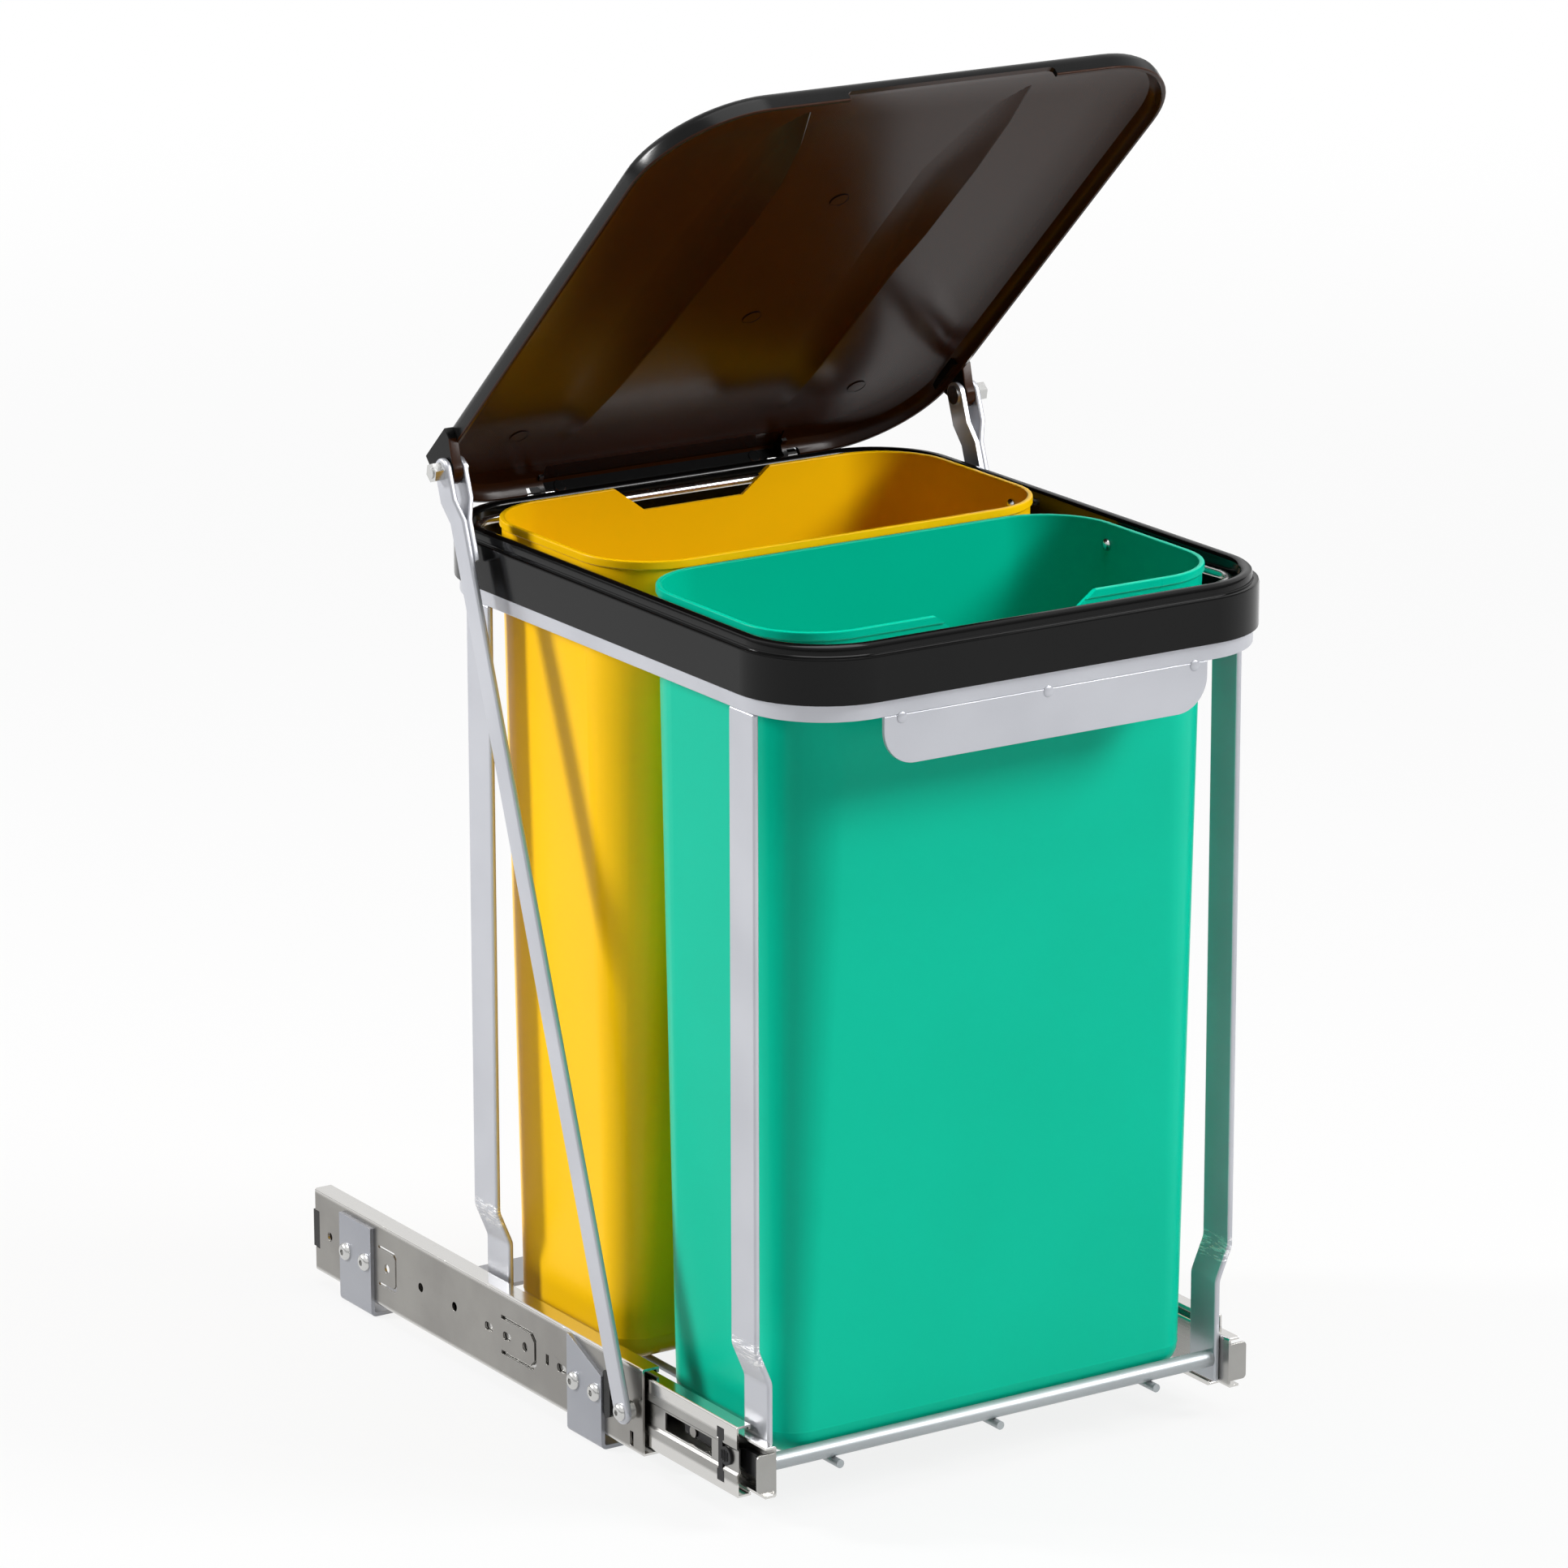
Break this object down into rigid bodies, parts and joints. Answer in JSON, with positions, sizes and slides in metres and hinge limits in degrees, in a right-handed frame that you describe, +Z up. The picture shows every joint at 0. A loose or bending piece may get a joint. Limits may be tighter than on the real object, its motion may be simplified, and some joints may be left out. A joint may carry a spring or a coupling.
{
  "type": "built-in pull-out waste bin",
  "caption": "Pull-out carriage on ball slides carrying two tapered buckets in a flat-bar frame, with a collar and a lid that two side arms raise as it comes out.",
  "frame": {"origin": "centre of the floor screw pattern, on the cabinet floor", "axes": "+X to the right seen from the front, -Y the way the bin pulls out, +Z up"},
  "size_m": [0.3042, 0.4255, 0.6353],
  "materials": {
    "zinc_steel": "zinc-plated rolled steel, satin",
    "bright_steel": "bright nickel-plated steel",
    "grey_paint": "smooth silver-grey powder coat",
    "dark_plastic": "glossy black polypropylene",
    "black_plastic": "black acetal",
    "black_rubber": "black rubber",
    "green_plastic": "semi-gloss green polypropylene",
    "yellow_plastic": "semi-gloss yellow polypropylene"
  },
  "bodies": {
    "cabinet_rails": {"left_outer_slide": "zinc_steel", "right_outer_slide": "zinc_steel", "left_rear_bumper": "black_rubber", "right_rear_bumper": "black_rubber", "left_arm_buffer": "black_rubber", "right_arm_buffer": "black_rubber", "front_floor_strap": "grey_paint", "rear_floor_strap": "grey_paint", "left_strap_screws": "bright_steel", "right_strap_screws": "bright_steel"},
    "carriage": {"left_inner_slide": "zinc_steel", "right_inner_slide": "zinc_steel", "left_lever_rivet": "zinc_steel", "right_lever_rivet": "zinc_steel", "left_front_leg": "grey_paint", "right_front_leg": "grey_paint", "left_rear_leg": "grey_paint", "right_rear_leg": "grey_paint", "frame_band": "grey_paint", "pull_plate": "grey_paint", "collar": "dark_plastic", "left_hinge_pin": "bright_steel", "right_hinge_pin": "bright_steel", "front_rod": "grey_paint", "left_rack_wire": "grey_paint", "centre_rack_wire": "grey_paint", "right_rack_wire": "grey_paint", "cross_wire": "grey_paint", "rear_bar": "grey_paint", "yellow_bucket": "yellow_plastic", "yellow_bail": "bright_steel"},
    "lid": {"lid": "dark_plastic"},
    "green_bucket": {"green_bucket": "green_plastic"},
    "green_bail": {"green_bail": "bright_steel"},
    "left_middle_member": {"left_middle_slide": "zinc_steel", "left_middle_stop": "black_plastic"},
    "left_outer_cage": {"left_outer_ball_cage": "bright_steel"},
    "left_inner_cage": {"left_inner_ball_cage": "bright_steel"},
    "left_arm": {"left_arm": "grey_paint", "left_fork_strip": "grey_paint", "left_fork_bolt": "bright_steel", "left_fork_nuts": "bright_steel", "left_arm_rivet": "bright_steel", "left_arm_washer": "bright_steel"},
    "left_release_lever": {"left_release_lever": "black_plastic"},
    "right_middle_member": {"right_middle_slide": "zinc_steel", "right_middle_stop": "black_plastic"},
    "right_outer_cage": {"right_outer_ball_cage": "bright_steel"},
    "right_inner_cage": {"right_inner_ball_cage": "bright_steel"},
    "right_arm": {"right_arm": "grey_paint", "right_fork_strip": "grey_paint", "right_fork_bolt": "bright_steel", "right_fork_nuts": "bright_steel", "right_arm_rivet": "bright_steel", "right_arm_washer": "bright_steel"},
    "right_release_lever": {"right_release_lever": "black_plastic"}
  },
  "joints": [
    {"name": "bin_slide", "type": "slide", "parent": "cabinet_rails", "child": "carriage", "axis": [0, -1, 0], "range_m": [-0.094, 0.1]},
    {"name": "left_middle_slide", "type": "slide", "parent": "cabinet_rails", "child": "left_middle_member", "axis": [0, -1, 0], "range_m": [-0.07812, 0.0831]},
    {"name": "left_outer_cage_slide", "type": "slide", "parent": "cabinet_rails", "child": "left_outer_cage", "axis": [0, -1, 0], "range_m": [-0.03911, 0.0416]},
    {"name": "left_inner_cage_slide", "type": "slide", "parent": "cabinet_rails", "child": "left_inner_cage", "axis": [0, -1, 0], "range_m": [-0.08611, 0.0916]},
    {"name": "right_middle_slide", "type": "slide", "parent": "cabinet_rails", "child": "right_middle_member", "axis": [0, -1, 0], "range_m": [-0.07812, 0.0831]},
    {"name": "right_outer_cage_slide", "type": "slide", "parent": "cabinet_rails", "child": "right_outer_cage", "axis": [0, -1, 0], "range_m": [-0.03911, 0.0416]},
    {"name": "right_inner_cage_slide", "type": "slide", "parent": "cabinet_rails", "child": "right_inner_cage", "axis": [0, -1, 0], "range_m": [-0.08611, 0.0916]},
    {"name": "lid_hinge", "type": "hinge", "parent": "carriage", "child": "lid", "pos_m": [0, 0.047, 0.4066], "axis": [-1, 0, 0], "range_deg": [-43.5, 46.3]},
    {"name": "left_fork_hinge", "type": "hinge", "parent": "lid", "child": "left_arm", "pos_m": [0, 0.00071, 0.43757], "axis": [1, 0, 0], "range_deg": [-53.9, 57.3]},
    {"name": "right_fork_hinge", "type": "hinge", "parent": "lid", "child": "right_arm", "pos_m": [0, 0.00071, 0.43757], "axis": [1, 0, 0], "range_deg": [-53.9, 57.3]},
    {"name": "green_bucket_lift", "type": "slide", "parent": "carriage", "child": "green_bucket", "axis": [0, 0, 1], "range_m": [0, 0.12]},
    {"name": "green_bail_hinge", "type": "hinge", "parent": "green_bucket", "child": "green_bail", "pos_m": [0, -0.151, 0.399], "axis": [-1, 0, 0], "range_deg": [0, 95]},
    {"name": "left_release_hinge", "type": "hinge", "parent": "carriage", "child": "left_release_lever", "pos_m": [0, -0.182, 0.028], "axis": [-1, 0, 0], "range_deg": [0, 4.5]},
    {"name": "right_release_hinge", "type": "hinge", "parent": "carriage", "child": "right_release_lever", "pos_m": [0, -0.182, 0.028], "axis": [-1, 0, 0], "range_deg": [0, 4.5]}
  ],
  "couplings": [
    {"joint": "left_middle_slide", "follows": "bin_slide", "ratio": 0.83},
    {"joint": "left_outer_cage_slide", "follows": "bin_slide", "ratio": 0.415},
    {"joint": "left_inner_cage_slide", "follows": "bin_slide", "ratio": 0.915},
    {"joint": "right_middle_slide", "follows": "bin_slide", "ratio": 0.83},
    {"joint": "right_outer_cage_slide", "follows": "bin_slide", "ratio": 0.415},
    {"joint": "right_inner_cage_slide", "follows": "bin_slide", "ratio": 0.915},
    {"joint": "lid_hinge", "follows": "bin_slide", "rad_per_m": 8.077},
    {"joint": "left_fork_hinge", "follows": "bin_slide", "rad_per_m": 9.98},
    {"joint": "right_fork_hinge", "follows": "bin_slide", "rad_per_m": 9.98}
  ]
}
